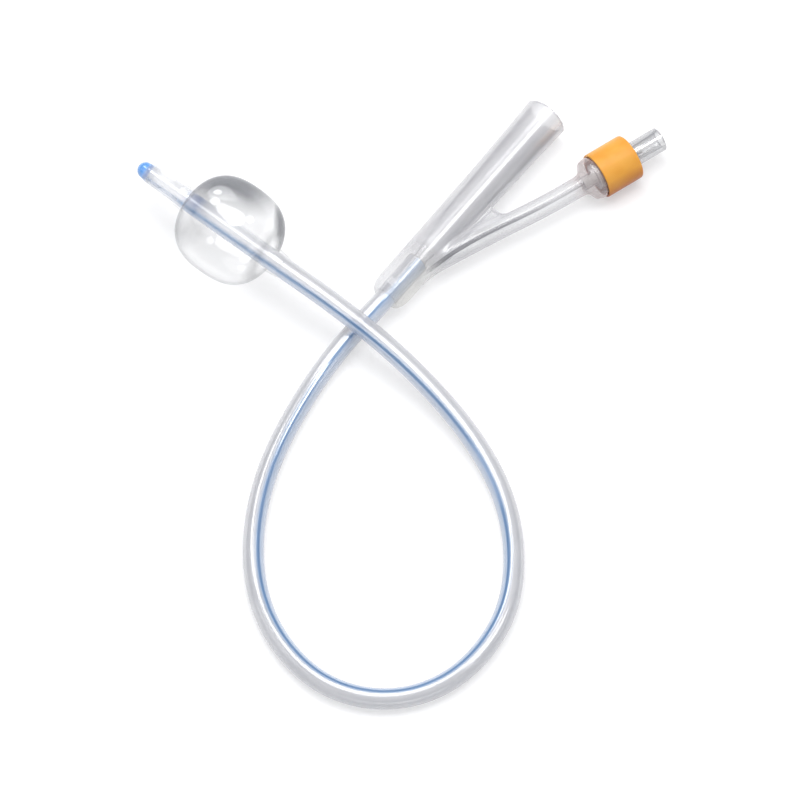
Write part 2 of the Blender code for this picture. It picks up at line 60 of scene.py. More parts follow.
def addNode(tree, kind, inputs=(), **settings):
    # A node with its settings, and its inputs set to plain values or wired to other outputs.
    node = tree.nodes.new(kind)
    for name, value in settings.items():
        setattr(node, name, value)
    for socket, value in dict(inputs).items():
        if isinstance(value, bpy.types.NodeSocket):
            tree.links.new(value, node.inputs[socket])
        else:
            node.inputs[socket].default_value = value
    return node


def combine(tree, operation, first, second=0.0):
    return addNode(tree, "ShaderNodeMath", {0: first, 1: second}, operation=operation).outputs[0]


def product(tree, first, second):
    return combine(tree, "MULTIPLY", first, second)


def larger(tree, first, second):
    return combine(tree, "MAXIMUM", first, second)


def spread(tree, source, low, high, lowTo=0.0, highTo=1.0):
    reach = {"Value": source, "From Min": low, "From Max": high, "To Min": lowTo, "To Max": highTo}
    return addNode(tree, "ShaderNodeMapRange", reach).outputs["Result"]


def mixShaders(tree, share, first, second):
    return addNode(tree, "ShaderNodeMixShader", {0: share, 1: first, 2: second}).outputs[0]


def blendColours(tree, share, first, second):
    first, second = ((*c, 1) if isinstance(c, tuple) else c for c in (first, second))
    mix = addNode(tree, "ShaderNodeMix", {"Factor": share, 6: first, 7: second}, data_type="RGBA")
    return mix.outputs[2]


def seenRays(tree):
    # 1 for what the camera sees, straight or in gloss and glass.
    path = addNode(tree, "ShaderNodeLightPath")
    seen = path.outputs["Is Camera Ray"]
    for ray in ("Is Glossy Ray", "Is Transmission Ray"):
        seen = larger(tree, seen, path.outputs[ray])
    return seen


def newMaterial(name, colour, **values):
    mat = bpy.data.materials.new(name)
    mat.use_nodes = True
    finish = mat.node_tree.nodes["Principled BSDF"]
    finish.inputs["Base Color"].default_value = (*colour, 1)
    for socket, value in values.items():
        finish.inputs[socket].default_value = value
    return mat, mat.node_tree


def feed(tree, source, socket="Base Color"):
    tree.links.new(source, tree.nodes["Principled BSDF"].inputs[socket])


# Camera and studio

view = {
    "aim": Vector((12.48, -9.02, 0)) * mm,    # the table point in the middle of the picture
    "azimuth": radians(37.4),
    "elevation": radians(60),
    "width": 0.2,    # metres across the picture
    "lens": 1200.0,
    "sensor": 36.0,
}

studio = {
    "lamps": {    # place, diameter, brightness
        "overhead": ((-0.2, 0.14, 1.5), 1.05, 4.6),
        "left": ((-0.90, 0.32, 1.28), 0.46, 5.2),
        "right": ((0.45, 0.64, 1.39), 0.52, 5.0),
        "rear": ((-0.60, 0.52, 0.56), 0.68, 2.6),    # this one and the next only shine in the balloon
        "rearCore": ((-1.38, 1.14, 1.25), 0.50, 7.0),
        "fill": ((-1.2, -0.9, 0.9), 0.8, 0.8),
    },
    "room": ((0.45, 0.20, 1.04), (0.85, 0.72, 1.02)),    # height, brightness and blueness of walls and roof
    "backdropTop": (0.10, 0.28),    # where the white backdrop ends above the horizon
    "floorSize": 6.0,
    "floorDrop": 0.05 * mm,    # keeps it clear of what lies on it
    "floorColour": (0.90, 0.903, 0.91),
    "floorSeen": (0.56, 0.562, 0.568),    # its colour as seen, where part of its white is its own
    "floorLift": 0.47,
}


def turnTo(item, place, away):
    item.location = place
    item.rotation_mode = "QUATERNION"
    item.rotation_quaternion = (-away).to_track_quat("-Z", "Y")


def makeCamera():
    turn, rise = view["azimuth"], view["elevation"]
    back = Vector((sin(turn) * cos(rise), -cos(turn) * cos(rise), sin(rise)))
    data = bpy.data.cameras.new("viewCamera")
    data.lens = view["lens"]
    data.sensor_width = view["sensor"]
    distance = view["width"] * view["lens"] / view["sensor"]
    data.clip_start = 0.1
    data.clip_end = 2 * distance
    camera = addPiece("viewCamera", data)
    turnTo(camera, view["aim"] + back * distance, back)
    bpy.context.scene.camera = camera


def makeLamp(name, place, size, radiance):
    data = bpy.data.lights.new(name, "AREA")
    data.shape = "DISK"
    data.size = size
    data.energy = radiance * pi * (size / 2) ** 2 * pi
    turnTo(addPiece(name, data), place, Vector(place))


def keepTo(lampName, piece):
    # Keeps a lamp's light to the reflections in one piece.
    group = bpy.data.collections.new(lampName + "Receivers")
    group.objects.link(piece)
    lamp = bpy.data.objects[lampName]
    lamp.light_linking.receiver_collection = group
    lamp.visible_diffuse = False


def makeWorld():
    world = bpy.data.worlds.new("studio")
    bpy.context.scene.world = world
    world.use_nodes = True
    tree = world.node_tree
    tree.nodes.clear()
    where = addNode(tree, "ShaderNodeTexCoord")
    height = addNode(tree, "ShaderNodeSeparateXYZ", {0: where.outputs["Generated"]}).outputs["Z"]
    ramp = addNode(tree, "ShaderNodeValToRGB", {"Fac": height})
    for step, (place, tone, blueness) in zip(ramp.color_ramp.elements, studio["room"]):
        step.position = place
        step.color = (tone, tone, tone * blueness, 1)
    room = addNode(tree, "ShaderNodeBackground", {"Color": ramp.outputs["Color"]})
    white = addNode(tree, "ShaderNodeBackground", {"Color": (1, 1, 1, 1)})
    # The pale backdrop stands low round the table, and gloss and glass show it as the camera does
    share = product(tree, seenRays(tree), spread(tree, height, *studio["backdropTop"], 1.0, 0.0))
    mixed = mixShaders(tree, share, room.outputs[0], white.outputs[0])
    addNode(tree, "ShaderNodeOutputWorld", {"Surface": mixed})


def makeFloor():
    half = studio["floorSize"] / 2
    corners = [(-half, -half, 0), (half, -half, 0), (half, half, 0), (-half, half, 0)]
    mesh = bpy.data.meshes.new("table")
    mesh.from_pydata(corners, [], [(0, 1, 2, 3)])
    mat, tree = newMaterial("paleTable", studio["floorColour"], **{
        "Roughness": 0.9, "Specular IOR Level": 0.1, "Emission Color": (1, 1, 1, 1)})
    seen = seenRays(tree)
    feed(tree, blendColours(tree, seen, studio["floorColour"], studio["floorSeen"]))
    feed(tree, product(tree, seen, studio["floorLift"]), "Emission Strength")
    floor = addPiece("table", mesh, mat)
    floor.location.z = -studio["floorDrop"]


makeCamera()
makeWorld()
makeFloor()
for lampName, lampSizes in studio["lamps"].items():
    makeLamp(lampName, *lampSizes)
bpy.context.scene.view_settings.view_transform = "Standard"
bpy.context.scene.cycles.transparent_max_bounces = 24    # clear walls lie one behind another
print("studio ready")


# Shape makers

def ease(t):
    return t * t * (3 - 2 * t)


def meshFrom(name, points, faces, uvs=None, faceSlots=None):
    mesh = bpy.data.meshes.new(name)
    mesh.from_pydata([tuple(p) for p in points], [], faces)
    if uvs is not None:
        layer = mesh.uv_layers.new(name="surface")
        layer.data.foreach_set("uv", np.array(uvs, dtype=np.float32).ravel())
    if faceSlots is not None:
        mesh.polygons.foreach_set("material_index", faceSlots)
    mesh.validate()
    mesh.shade_smooth()
    return mesh


def smoothPath(route, stations):
    # An even-stepped curve through the points of a route, as a bent rod lies.
    knots = np.array(route, dtype=float)
    chord = np.linalg.norm(np.diff(knots, axis=0), axis=1)
    at = np.concatenate(([0.0], np.cumsum(chord)))
    count = len(at)
    system = np.eye(count)
    bend = np.zeros_like(knots)
    for i in range(1, count - 1):
        system[i, i - 1:i + 2] = (chord[i - 1], 2 * (chord[i - 1] + chord[i]), chord[i])
        after = (knots[i + 1] - knots[i]) / chord[i]
        before = (knots[i] - knots[i - 1]) / chord[i - 1]
        bend[i] = 6 * (after - before)
    curve = np.linalg.solve(system, bend)
    fine = []
    for t in np.linspace(0, at[-1], 60 * count):
        i = min(int(np.searchsorted(at, t, side="right")) - 1, count - 2)
        h = chord[i]
        a, b = (at[i + 1] - t) / h, (t - at[i]) / h
        bow = ((a ** 3 - a) * curve[i] + (b ** 3 - b) * curve[i + 1]) * h * h / 6
        fine.append(a * knots[i] + b * knots[i + 1] + bow)
    fine = np.array(fine)
    walked = np.concatenate(([0.0], np.cumsum(np.linalg.norm(np.diff(fine, axis=0), axis=1))))
    even = np.linspace(0, walked[-1], stations)
    return np.stack([np.interp(even, walked, fine[:, k]) for k in range(3)], axis=1)


def ringsAlong(path, radius, sides, shift=0.0):
    # Rings of points round a path. Angle 0 is up, and a quarter turn is to the left.
    ahead = np.gradient(path, axis=0)
    ahead /= np.linalg.norm(ahead, axis=1)[:, None]
    left = np.cross([0, 0, 1.0], ahead)
    left /= np.linalg.norm(left, axis=1)[:, None]
    top = np.cross(ahead, left)
    turns = np.arange(sides) / sides * tau
    wide = np.broadcast_to(np.asarray(radius, dtype=float), (len(path),))
    middle = path + left * shift
    spokes = top[:, None, :] * np.cos(turns)[None, :, None]
    spokes = spokes + left[:, None, :] * np.sin(turns)[None, :, None]
    return (middle[:, None, :] + spokes * wide[:, None, None]).reshape(-1, 3)


def tubeFaces(stations, sides, offset=0, inward=False):
    faces = []
    for i in range(stations - 1):
        for j in range(sides):
            k = (j + 1) % sides
            quad = (i * sides + j, i * sides + k, (i + 1) * sides + k, (i + 1) * sides + j)
            faces.append(tuple(offset + q for q in (quad if not inward else quad[::-1])))
    return faces


def filleted(corners, steps=6):
    # (radius, height, fillet) corners of an open profile, as (radius, height) points with round corners.
    points = []
    for i, (r, h, fillet) in enumerate(corners):
        if fillet <= 0 or i in (0, len(corners) - 1):
            points.append((r, h))
            continue
        here = Vector((r, h))
        toBefore = (Vector(corners[i - 1][:2]) - here).normalized()
        toAfter = (Vector(corners[i + 1][:2]) - here).normalized()
        start, end = here + toBefore * fillet, here + toAfter * fillet
        for step in range(steps + 1):
            t = step / steps
            point = start.lerp(here, t).lerp(here.lerp(end, t), t)
            points.append((point.x, point.y))
    return points


def turnedPiece(name, profile, sides, origin, direction, *mats, closed=False):
    # Turned solid. The profile runs down its outer side; UVs hold the turn and the height in metres.
    turn = direction.to_track_quat("Z", "Y").to_matrix()
    points, faces, uvs, rows = [], [], [], []
    for r, h in profile:
        if r < 1e-7:
            rows.append([len(points)] * (sides + 1))
            points.append(origin + turn @ Vector((0, 0, h)))
        else:
            start = len(points)
            for j in range(sides):
                angle = tau * j / sides
                points.append(origin + turn @ Vector((r * cos(angle), r * sin(angle), h)))
            rows.append([start + j % sides for j in range(sides + 1)])
    count = len(profile)
    for i in range(count if closed else count - 1):
        k = (i + 1) % count
        for j in range(sides):
            unique = []
            for row, column in ((i, j), (k, j), (k, j + 1), (i, j + 1)):
                corner = (rows[row][column], column, row)
                if corner[0] not in [u[0] for u in unique]:
                    unique.append(corner)
            if len(unique) < 3:
                continue
            faces.append(tuple(u[0] for u in unique))
            uvs += [(u[1] / sides, profile[u[2]][1]) for u in unique]
    return addPiece(name, outward(meshFrom(name, points, faces, uvs)), *mats)


def filletedPiece(name, corners, sides, *mats):
    # A ring on the valve's line with round corners, and the profile that it was turned from.
    profile = filleted(corners)[:-1]
    return turnedPiece(name, profile, sides, sleeveFace, valveWay, *mats, closed=True), profile


def meshOf(name, shape):
    mesh = bpy.data.meshes.new(name)
    shape.to_mesh(mesh)
    shape.free()
    return mesh


def outward(mesh):
    shape = bmesh.new()
    shape.from_mesh(mesh)
    bmesh.ops.recalc_face_normals(shape, faces=shape.faces)
    shape.to_mesh(mesh)
    shape.free()
    return mesh


def useTool(piece, tool, mat=None, operation="DIFFERENCE"):
    # Cuts a tool away or joins it on. Cut faces take the tool's material.
    step = piece.modifiers.new("tool", "BOOLEAN")
    step.operation = operation
    step.solver = "EXACT"
    step.object = tool
    if mat is not None:
        tool.data.materials.append(mat)
        step.material_mode = "TRANSFER"
    bakeModifiers(piece)
    bpy.data.objects.remove(tool)


def bakeModifiers(piece):
    depsgraph = bpy.context.evaluated_depsgraph_get()
    mesh = bpy.data.meshes.new_from_object(piece.evaluated_get(depsgraph))
    old = piece.data
    piece.modifiers.clear()
    piece.data = mesh
    bpy.data.meshes.remove(old)


def sharpen(piece, degrees):
    piece.data.set_sharp_from_angle(angle=radians(degrees))


def setSlots(piece, rowSlots, sides):
    # The first or second material for each row of a turned piece's faces.
    piece.data.polygons.foreach_set("material_index", np.repeat(rowSlots, sides).astype(np.int32))


# Material makers

def placeOn(tree):
    return addNode(tree, "ShaderNodeTexCoord").outputs["Object"]


def noise(tree, scale, detail=2):
    inputs = {"Vector": placeOn(tree), "Scale": scale, "Detail": detail}
    return addNode(tree, "ShaderNodeTexNoise", inputs).outputs["Fac"]


def mottled(tree, tints, scale, detail=3):
    # Two close colours in soft clouds, as moulded silicone and plastic show.
    return blendColours(tree, spread(tree, noise(tree, scale, detail), 0.3, 0.7), *tints)


def grained(tree, scale, low, high, depth=0.0):
    # Fine grain in the roughness, and in the surface where a depth is given.
    grain = noise(tree, scale)
    feed(tree, spread(tree, grain, 0.3, 0.7, low, high), "Roughness")
    if depth > 0:
        bump = addNode(tree, "ShaderNodeBump", {"Distance": depth, "Strength": 1.0, "Height": grain})
        feed(tree, bump.outputs["Normal"], "Normal")


def onSurface(tree, axis):
    uv = addNode(tree, "ShaderNodeUVMap", uv_map="surface")
    return addNode(tree, "ShaderNodeSeparateXYZ", {0: uv.outputs["UV"]}).outputs[axis]


def byPlace(tree, axis, low, high, *ends):
    # A share that changes along an axis, from one value to another between two places in millimetres.
    split = addNode(tree, "ShaderNodeSeparateXYZ", {0: placeOn(tree)})
    return spread(tree, split.outputs[axis], low * mm, high * mm, *ends)


def byPlaces(tree, places):
    # Such shares along several stretches, multiplied.
    share = byPlace(tree, *places[0])
    for place in places[1:]:
        share = product(tree, share, byPlace(tree, *place))
    return share


def byReach(tree, origin, way, low, high, *ends):
    # A share that changes with how far a point lies along a direction from an origin.
    reach = addNode(tree, "ShaderNodeVectorMath", {0: placeOn(tree), 1: way}, operation="DOT_PRODUCT")
    start = origin.dot(way)
    return spread(tree, reach.outputs["Value"], start + low, start + high, *ends)


def edgeShare(tree, straight, edge, power=1.0):
    # From one value where the surface is seen straight on to another at its edge.
    facing = addNode(tree, "ShaderNodeLayerWeight", {"Blend": 0.5})
    return spread(tree, combine(tree, "POWER", facing.outputs["Facing"], power), 0.0, 1.0, straight, edge)


def addLayer(tree, share, layer):
    # Mixes a shader over what the material has so far.
    surface = tree.nodes["Material Output"].inputs["Surface"]
    under = surface.links[0].from_socket
    tree.links.new(mixShaders(tree, share, under, layer.outputs[0]), surface)


def seeThrough(tree, solid):
    # Lets the view pass straight through, by how solid the surface is.
    clear = addNode(tree, "ShaderNodeBsdfTransparent")
    mixed = mixShaders(tree, solid, clear.outputs[0], tree.nodes["Principled BSDF"].outputs[0])
    tree.links.new(mixed, tree.nodes["Material Output"].inputs["Surface"])


def addGloss(tree, straight, edge, roughness, power=4.0):
    # A mirror-like layer over a clear wall, stronger at its edge.
    gloss = addNode(tree, "ShaderNodeBsdfPrincipled", {
        "Base Color": (0.97, 0.975, 0.98, 1), "Metallic": 1.0, "Roughness": roughness})
    addLayer(tree, edgeShare(tree, straight, edge, power), gloss)


def lightThrough(tree, share):
    # Lets part of the lamps' light through to what lies under a thin wall, so that its shadow is faint.
    shadow = addNode(tree, "ShaderNodeLightPath").outputs["Is Shadow Ray"]
    addLayer(tree, product(tree, shadow, share), addNode(tree, "ShaderNodeBsdfTransparent"))


def newSilicone(name, colour, roughness, skinRoughness, skinIor):
    return newMaterial(name, colour, **{
        "Roughness": roughness, "IOR": 1.41, "Coat Weight": 1.0, "Coat Roughness": skinRoughness,
        "Coat IOR": skinIor})


def clearWall(name, tints, scale, solid, places=(), detail=3, **values):
    # A see-through wall in two close tints. Places are the stretches over which it thins out.
    mat, tree = newMaterial(name, tints[0], **values)
    feed(tree, mottled(tree, tints, scale, detail))
    share = edgeShare(tree, *solid)
    if places:
        share = product(tree, share, byPlaces(tree, places))
    seeThrough(tree, share)
    return mat


# Shaft: clear silicone extrusion with its drain bore, inflation bore and blue line

route = (
    (-6.2, 22.4, 6), (-6.2, 15.9, 6), (-6.25, 9.4, 5.95), (-6.6, 2.4, 5.3), (-7, -4, 4.4),
    (-7.15, -9.6, 3.5), (-6.9, -16, 2.85), (-5.8, -24.4, 2.67), (-3.3, -36.8, 2.67), (0.55, -48.8, 2.67),
    (6.4, -60.5, 2.67), (14.1, -70.9, 2.67), (23.8, -79.3, 2.67), (35, -84.6, 2.67), (46.9, -86.3, 2.67),
    (58, -83.4, 2.67), (66.8, -76.4, 2.67), (72.2, -66, 2.67), (73.4, -53.9, 2.67), (70.8, -41.6, 2.67),
    (64.5, -30.4, 2.67), (54.2, -19.5, 2.75), (43.7, -12.6, 3.4), (31, -7.55, 4.75), (17.3, -4.4, 6.75),
    (3.7, -2.8, 9.0), (-7.3, -2.4, 10.75), (-17.4, -2.3, 12.0), (-28.9, -2.25, 12.65), (-39.9, -1.9, 12.7),
    (-51.9, -1.5, 12.7), (-63.9, -1.1, 12.7), (-76.2, -0.7, 12.7),
)

shaft = {
    "diameter": 5.33 * mm,
    "bore": 2.7 * mm,
    "boreShift": -0.45 * mm,
    "fillBore": 0.7 * mm,
    "fillShift": 1.75 * mm,
    "fillSides": 12,
    "fillShort": 4,    # stations left solid at each end of the inflation bore
    "stations": 460,
    "sides": 48,
    "taper": 0.92,    # width at the tip, as a share
    "taperLength": 16 * mm,
    "tipLength": 3.8 * mm,
    "tipGap": 0.3 * mm,
    "eyes": ((7.3 * mm, -104), (9.4 * mm, 152)),    # distance from the tip's end, turn from the top
    "eyeWidth": 2.2 * mm,
    "eyeLength": 4.6 * mm,
    "eyeSides": 40,
    "lineTurns": (    # share of the length, turn of the blue line from the top
        (0, 20), (0.11, 22), (0.24, 27), (0.31, 25), (0.40, 17), (0.45, 15), (0.51, 20),
        (0.58, 28), (0.66, 32), (0.74, 39), (0.81, 47), (0.87, 56), (0.93, 61), (1.0, 62)),
    "lineWidth": 0.17,    # radians each side of its middle
    "glowWidth": (0.34, 1.5),    # radians of pale blue on its two sides
    "tints": ((0.60, 0.61, 0.65), (0.66, 0.665, 0.70)),
    "lineColour": (0.10, 0.24, 0.48),
    "glowColour": (0.40, 0.57, 0.84),
    "glowPlace": ("X", -64, -60, 0.2, 1.0),    # axis, from and to in mm, share there and there
    "tipPaintedLightColour": (0.86, 0.87, 0.90),    # painted light: paler from the balloon to the tip
    "tipPaintedLightPlace": ("X", -36, -30, 1.0, 0.0),
    "neckColour": (0.36, 0.46, 0.74),    # the blue line as the balloon's front neck spreads it
    "neckPlaces": (("X", -61.5, -59.5, 0.0, 0.8), ("X", -57, -55, 1.0, 0.0)),
    "solid": (0.46, 0.92, 1.6),    # how solid seen straight on, at its edge, and its power
    "neckSolid": 1.5,    # how much more solid the neck's blue makes it
    "lineSolid": (0.3, 0.62),    # how solid the line and its glow are
    "boreWall": {    # hardly seen between the balloon and the tip
        "tints": ((0.44, 0.455, 0.50), (0.54, 0.55, 0.59)), "scale": 240, "solid": (0.04, 0.75, 2.2),
        "places": (("X", -60, -34, 0.3, 1.0),), "Roughness": 0.25, "IOR": 1.41},
    "eyeWall": {
        "tints": ((0.66, 0.67, 0.71), (0.74, 0.75, 0.78)), "scale": 240, "solid": (0.05, 0.35, 2.0),
        "Roughness": 0.3, "IOR": 1.41},
}


def shaftPath():
    nose = np.array(route[-1]) * mm
    ahead = nose - np.array(route[-2]) * mm
    ahead /= np.linalg.norm(ahead)
    end = nose - ahead * (shaft["tipLength"] + shaft["tipGap"])
    points = [np.array(p) * mm for p in route[:-1]] + [end]
    path = smoothPath(points, shaft["stations"])
    path[:, 2] = np.maximum(path[:, 2], shaft["diameter"] / 2)
    return path, Vector(end), Vector(ahead)


def siliconeMaterial():
    mat, tree = newSilicone("clearSilicone", shaft["tints"][1], 0.3, 0.09, 2.6)
    across = onSurface(tree, "X")
    half = shaft["lineWidth"] / tau
    near, far = (half + width / tau for width in shaft["glowWidth"])
    line = spread(tree, combine(tree, "ABSOLUTE", across), half * 0.5, half * 1.5, 1.0, 0.0)
    glow = product(tree, spread(tree, across, -near, -half), spread(tree, across, half, far, 1.0, 0.0))
    glow = product(tree, glow, byPlace(tree, *shaft["glowPlace"]))
    neck = byPlaces(tree, shaft["neckPlaces"])
    body = mottled(tree, shaft["tints"], scale=160, detail=4)
    # Painted light: the shaft paler from the balloon to the tip
    body = blendColours(tree, byPlace(tree, *shaft["tipPaintedLightPlace"]), body, shaft["tipPaintedLightColour"])
    body = blendColours(tree, neck, body, shaft["neckColour"])
    body = blendColours(tree, glow, body, shaft["glowColour"])
    feed(tree, blendColours(tree, line, body, shaft["lineColour"]))
    firmer = spread(tree, neck, 0.0, 1.0, 1.0, shaft["neckSolid"])
    solid = product(tree, edgeShare(tree, *shaft["solid"]), firmer)
    ofLine, ofGlow = shaft["lineSolid"]
    stripe = combine(tree, "ADD", product(tree, line, ofLine), product(tree, glow, ofGlow))
    seeThrough(tree, larger(tree, solid, stripe))
    return mat


def eyeCutter(middle, ahead, outwardWay):
    shape = bmesh.new()
    wide = shaft["eyeWidth"] / 2
    bmesh.ops.create_cone(
        shape, cap_ends=True, segments=shaft["eyeSides"], radius1=wide, radius2=wide, depth=shaft["diameter"])
    bmesh.ops.scale(shape, vec=(shaft["eyeLength"] / shaft["eyeWidth"], 1, 1), verts=shape.verts)
    across = outwardWay.cross(ahead).normalized()
    turn = Matrix((ahead, across, outwardWay)).transposed().to_4x4()
    shape.transform(Matrix.Translation(middle + outwardWay * shaft["diameter"] / 2) @ turn)
    return addPiece("eyeCutter", meshOf("eyeCutter", shape))


def makeShaft():
    path, end, ahead = shaftPath()
    stations, sides, fillSides = shaft["stations"], shaft["sides"], shaft["fillSides"]
    walked = np.concatenate(([0.0], np.cumsum(np.linalg.norm(np.diff(path, axis=0), axis=1))))
    taper = 1 - (1 - shaft["taper"]) * ease(np.clip((walked - walked[-1]) / shaft["taperLength"] + 1, 0, 1))
    outer = ringsAlong(path, shaft["diameter"] / 2 * taper, sides)
    inner = ringsAlong(path, shaft["bore"] / 2, sides, shaft["boreShift"])
    fillPath = path[shaft["fillShort"]:-shaft["fillShort"]]
    fill = ringsAlong(fillPath, shaft["fillBore"] / 2, fillSides, shaft["fillShift"])
    skin = tubeFaces(stations, sides)
    bores = tubeFaces(stations, sides, len(outer), True)
    fillStart = len(outer) + len(inner)
    fillEnd = fillStart + (len(fillPath) - 1) * fillSides
    bores += tubeFaces(len(fillPath), fillSides, fillStart, True)
    bores.append(tuple(fillStart + j for j in range(fillSides)))
    bores.append(tuple(fillEnd + j for j in range(fillSides))[::-1])
    ends = []
    near, far = len(outer), (stations - 1) * sides
    for j in range(sides):
        k = (j + 1) % sides
        ends.append((j, near + j, near + k, k))
        ends.append((far + j, far + k, near + far + k, near + far + j))
    uvs = shaftUvs(walked, stations, sides) + [(0.5, 0.0)] * sum(len(f) for f in bores + ends)
    slots = [0] * len(skin) + [1] * len(bores) + [0] * len(ends)
    mesh = meshFrom("shaft_tube", np.concatenate((outer, inner, fill)), skin + bores + ends, uvs, slots)
    piece = addPiece("shaft_tube", mesh, siliconeMaterial(), clearWall("boreSilicone", **shaft["boreWall"]))
    eyeSkin = clearWall("eyeSilicone", **shaft["eyeWall"])
    left = up.cross(ahead).normalized()
    top = ahead.cross(left)
    nose = end + ahead * (shaft["tipLength"] + shaft["tipGap"])
    for distance, turn in shaft["eyes"]:
        way = top * cos(radians(turn)) + left * sin(radians(turn))
        useTool(piece, eyeCutter(nose - ahead * distance, ahead, way), eyeSkin)
    sharpen(piece, 40)
    return piece, path, end, ahead


def shaftUvs(walked, stations, sides):
    # U is the turn from the blue line, and V the length walked along the shaft.
    shares, turns = zip(*shaft["lineTurns"])
    lineTurn = np.radians(np.interp(walked / walked[-1], shares, turns))
    uvs = []
    for i in range(stations - 1):
        for j in range(sides):
            middle = (j + 0.5) / sides * tau - lineTurn[i]
            wraps = round(middle / tau)
            for row, column in ((i, j), (i, j + 1), (i + 1, j + 1), (i + 1, j)):
                turn = column / sides * tau - lineTurn[row]
                uvs.append((turn / tau - wraps, walked[row]))
    return uvs


shaftTube, shaftLine, shaftEnd, tipAhead = makeShaft()
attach(shaftTube, "catheter")
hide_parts("shaft")
print("shaft made")


# Tip: blue rounded plug, clear towards the shaft

tip = {
    "base": 4.86 * mm,
    "nose": 4.25 * mm,
    "noseSteps": 16,
    "flankSteps": 4,
    "tints": ((0.15, 0.42, 0.92), (0.12, 0.37, 0.87)),
    "clear": (0.74, 0.80, 0.90),
    "clearLength": 1.3 * mm,    # over which the blue fades in
    "solid": (0.40, 0.95, 1.4),
    "blueSolid": (0.3, 0.97),    # how solid where it is clear and where it is blue
}


def tipMaterial():
    mat, tree = newSilicone("tipBlue", tip["tints"][0], 0.3, 0.12, 1.8)
    fade = spread(tree, onSurface(tree, "Y"), -0.1 * mm, tip["clearLength"])
    feed(tree, blendColours(tree, fade, tip["clear"], mottled(tree, tip["tints"], scale=500)))
    blueSolid = spread(tree, fade, 0.0, 1.0, *tip["blueSolid"])
    seeThrough(tree, larger(tree, edgeShare(tree, *tip["solid"]), blueSolid))
    return mat


def makeTip():
    length, gap = shaft["tipLength"], shaft["tipGap"]
    nose, base = tip["nose"] / 2, tip["base"] / 2
    flank = length - nose
    profile = [(0.0, length)]
    for step in range(1, tip["noseSteps"] + 1):
        turn = pi / 2 * (1 - step / tip["noseSteps"])
        profile.append((nose * cos(turn), flank + nose * sin(turn)))
    for step in range(1, tip["flankSteps"] + 1):
        t = step / tip["flankSteps"]
        profile.append((nose + (base - nose) * ease(t), flank * (1 - t)))
    profile += [(base, -gap), (0.0, -gap)]
    start = shaftEnd + tipAhead * gap
    piece = turnedPiece("tip_dome", profile, shaft["sides"], start, tipAhead, tipMaterial())
    sharpen(piece, 50)
    return piece


tipDome = makeTip()
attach(tipDome, "catheter")
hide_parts("tip")
print("tip made")


# Balloon: clear blown sleeve with a bonded cuff at each end

balloon = {
    "diameter": 25.4 * mm,
    "length": 25.8 * mm,
    "bluntness": 2.6,
    "wall": 0.35 * mm,
    "fromTipEnd": 29.5 * mm,
    "bore": 5.73 * mm,
    "neck": 6.53 * mm,
    "lip": 0.12 * mm,    # thickness at the cuffs' ends
    "cuffFade": 3.0 * mm,    # length over which each cuff thins out
    "cuffSteps": 8,
    "frontCuff": 3.4 * mm,
    "rearCuff": 4.2 * mm,
    "sides": 96,
    "steps": 72,
    # Dark smoke tints: they show at the film's edges and carry the painted dark reflections and shade
    "tints": ((0.10, 0.108, 0.13), (0.15, 0.158, 0.178)),
    "solid": (0.0, 0.95, 6.5),
    "innerWall": {"scale": 60, "detail": 4, "solid": (0.0, 0.25, 6.0), "Roughness": 0.2, "IOR": 1.41},
    "paintedShades": (    # painted dark reflections and shade: a side, from where to where in radii, and the painted grey there
        ((-0.366, 0.726, 0.583), 0.20, 0.80, 0.0, 0.95),
        ((0.794, 0.607, 0.0), 0.84, 0.98, 0.0, 0.88),
        ((-1.0, 0.0, 0.0), 0.60, 0.98, 0.0, 0.55)),
    "farPaintedShadeFade": ((0.794, 0.607, 0.0), 0.35, 0.95, 1.0, 0.2),    # thins out the first to the right
    # painted shade on the rear wall
    "rearPaintedShade": ("X", -36.4, -35.0, 0.0, 0.4),
    "paintedShadePlaces": (("X", -60, -58, 0.0, 1.0), ("X", -34.6, -34.0, 1.0, 0.0)),    # between the cuffs
    "aslant": (0.2, 1.15, 0.7),    # a wall seen straight on is clearer than one seen aslant
    "gloss": (0.07, 0.45, 0.09, 9.0),    # gloss straight on, at the edge, its roughness and power
    "lightThrough": 0.75,
}


def filmMaterial(middle):
    mat, tree = newMaterial("balloonFilm", balloon["tints"][0], Roughness=0.25, IOR=1.41)
    feed(tree, mottled(tree, balloon["tints"], scale=60, detail=4))

    def towards(side, *reach):
        # A share that changes towards a side, between distances in radii from the middle.
        return byReach(tree, middle, Vector(side).normalized() / (balloon["diameter"] / 2), *reach)

    # Painted dark reflections and shade: grey painted on the sleeve's far upper side, thinly at its right and
    # front, and on its rear wall
    paintedShades = [towards(*paintedShade) for paintedShade in balloon["paintedShades"]]
    paintedShades[0] = product(tree, paintedShades[0], towards(*balloon["farPaintedShadeFade"]))
    paintedShades.append(byPlace(tree, *balloon["rearPaintedShade"]))
    paintedShadeStrength = product(tree, edgeShare(tree, *balloon["aslant"]), byPlaces(tree, balloon["paintedShadePlaces"]))
    solid = edgeShare(tree, *balloon["solid"])
    for paintedShade in paintedShades:
        solid = larger(tree, solid, product(tree, paintedShade, paintedShadeStrength))
    seeThrough(tree, solid)
    addGloss(tree, *balloon["gloss"])
    lightThrough(tree, balloon["lightThrough"])
    return mat


def blownCurve(radius, half, neck):
    points = []
    power = 2 / balloon["bluntness"]
    for step in range(balloon["steps"] + 1):
        turn = pi * step / balloon["steps"]
        along = half * abs(cos(turn)) ** power * (1 if cos(turn) >= 0 else -1)
        points.append((max(radius * sin(turn) ** power, neck), along))
    return points


